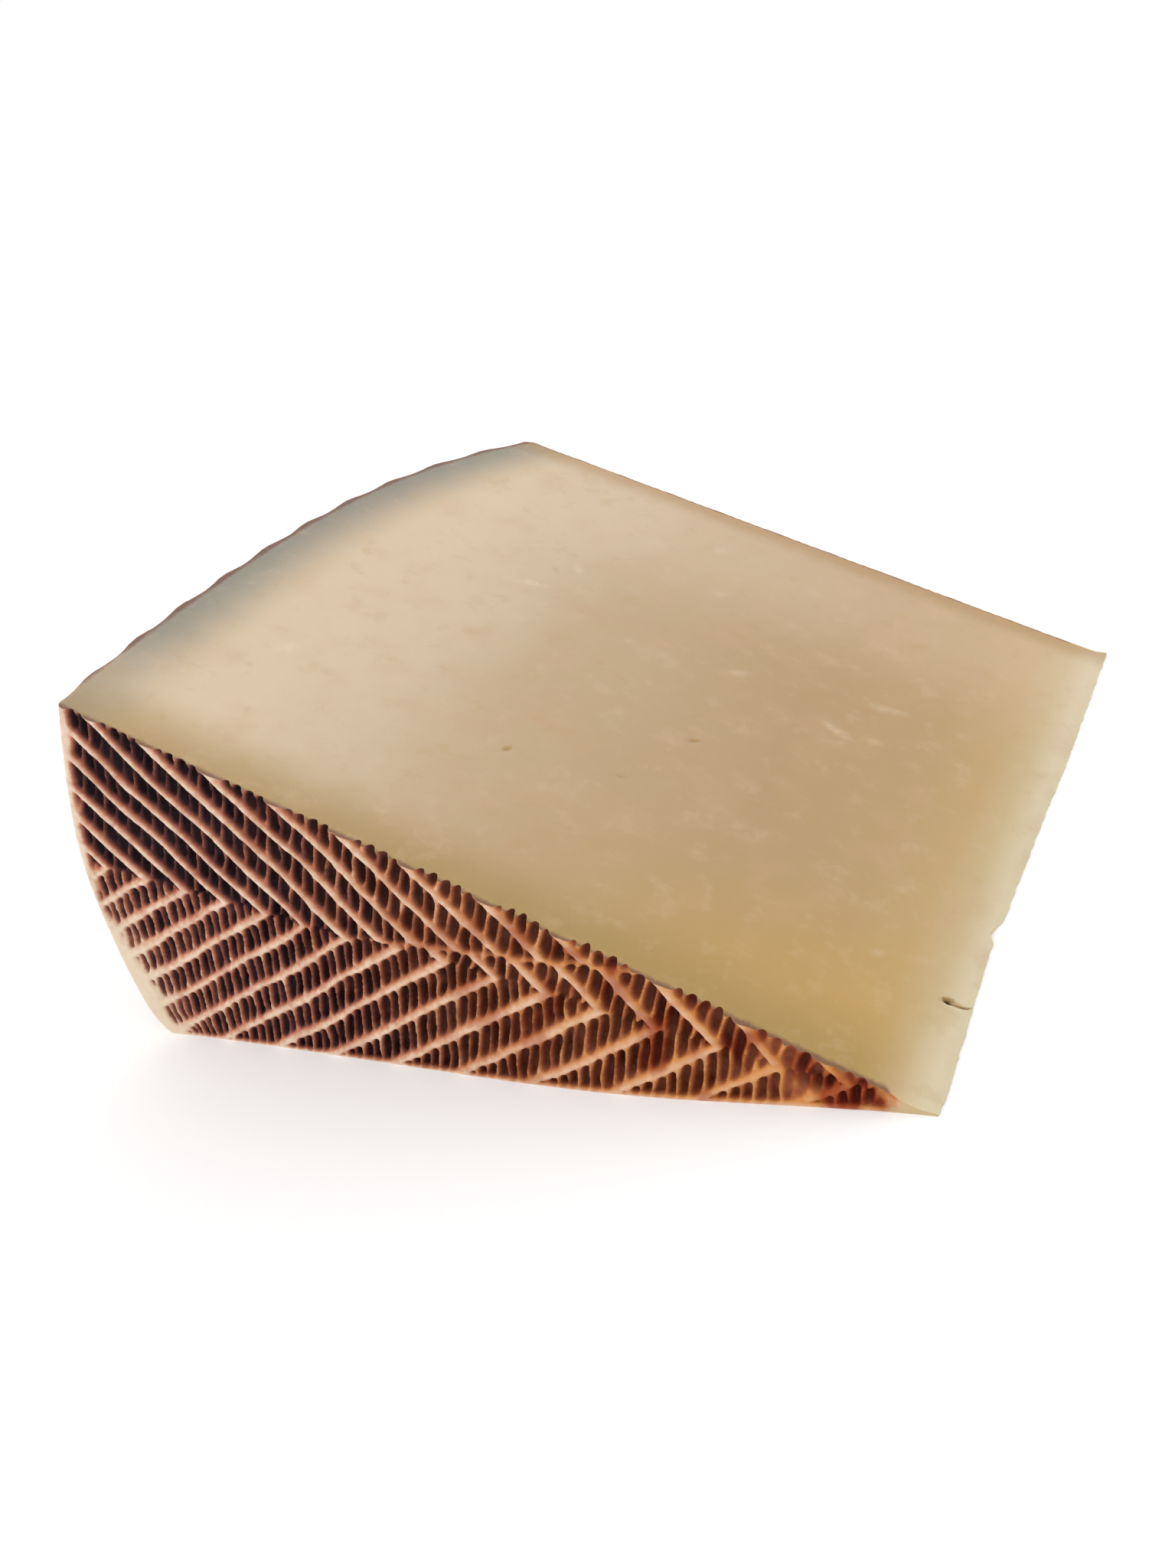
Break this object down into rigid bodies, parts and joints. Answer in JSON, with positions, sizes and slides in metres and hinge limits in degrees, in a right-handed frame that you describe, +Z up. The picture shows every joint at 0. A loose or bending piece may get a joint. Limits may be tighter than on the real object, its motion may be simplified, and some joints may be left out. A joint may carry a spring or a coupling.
{
  "type": "cheese wedge",
  "caption": "Wedge cut from a wheel of pressed sheep's milk cheese, with a herringbone imprint on its flat faces and a plaited imprint round its side.",
  "frame": {"origin": "under the middle of the wedge's bounding box, on the surface that its lower cut face rests on", "axes": "+X from the side rind to the tip edge, which is on the wheel's axis; +Y along the wheel's axis, from the front flat face to the back one; +Z up"},
  "size_m": [0.1022, 0.0906, 0.0472],
  "materials": {
    "cheese": "waxy cut cheese with a light sheen, ivory to pale tan; orange-brown pressed rind on the flat faces and the side"
  },
  "bodies": {
    "root": {"cheese_wedge": "cheese"}
  },
  "joints": []
}
